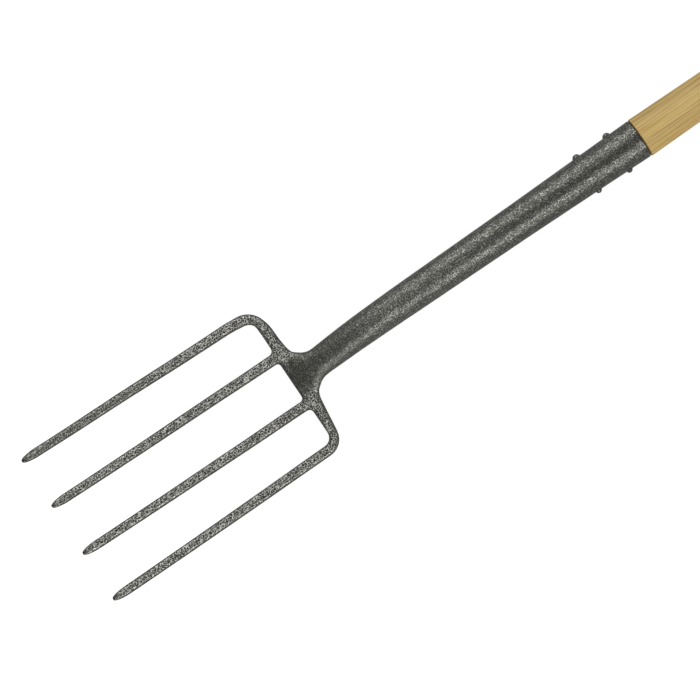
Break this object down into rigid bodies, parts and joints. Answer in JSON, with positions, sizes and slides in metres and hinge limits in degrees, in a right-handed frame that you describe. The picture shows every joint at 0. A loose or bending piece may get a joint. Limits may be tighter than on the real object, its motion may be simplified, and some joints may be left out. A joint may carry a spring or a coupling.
{
  "type": "digging fork",
  "caption": "Garden digging fork: flat-sided curved tines on a shoulder bar, long hammered-enamel socket riveted to an ash shaft that splits into a Y with a turned cross grip.",
  "frame": {"origin": "middle of the flat heel on the back of the shoulder bar, on the surface the fork lies on", "axes": "+X up the handle, parallel to the shaft; +Z out of the face (the fork lies on its back, face up); +Y to the left seen from the face with the handle up"},
  "size_m": [1.0691, 0.18, 0.0439],
  "materials": {
    "hammered_enamel": "semi-gloss dark grey hammered enamel on forged steel",
    "ash_wood": "smooth ash, thin clear lacquer",
    "zinc_steel": "zinc-plated steel"
  },
  "bodies": {
    "root": {"fork_head": "hammered_enamel", "socket_rivet_lower": "hammered_enamel", "socket_rivet_upper": "hammered_enamel", "ash_shaft": "ash_wood", "hand_grip": "ash_wood", "grip_rivet": "zinc_steel", "grip_washer_left": "zinc_steel", "grip_washer_right": "zinc_steel", "crotch_rivet": "zinc_steel", "crotch_washer_left": "zinc_steel", "crotch_washer_right": "zinc_steel"}
  },
  "joints": []
}
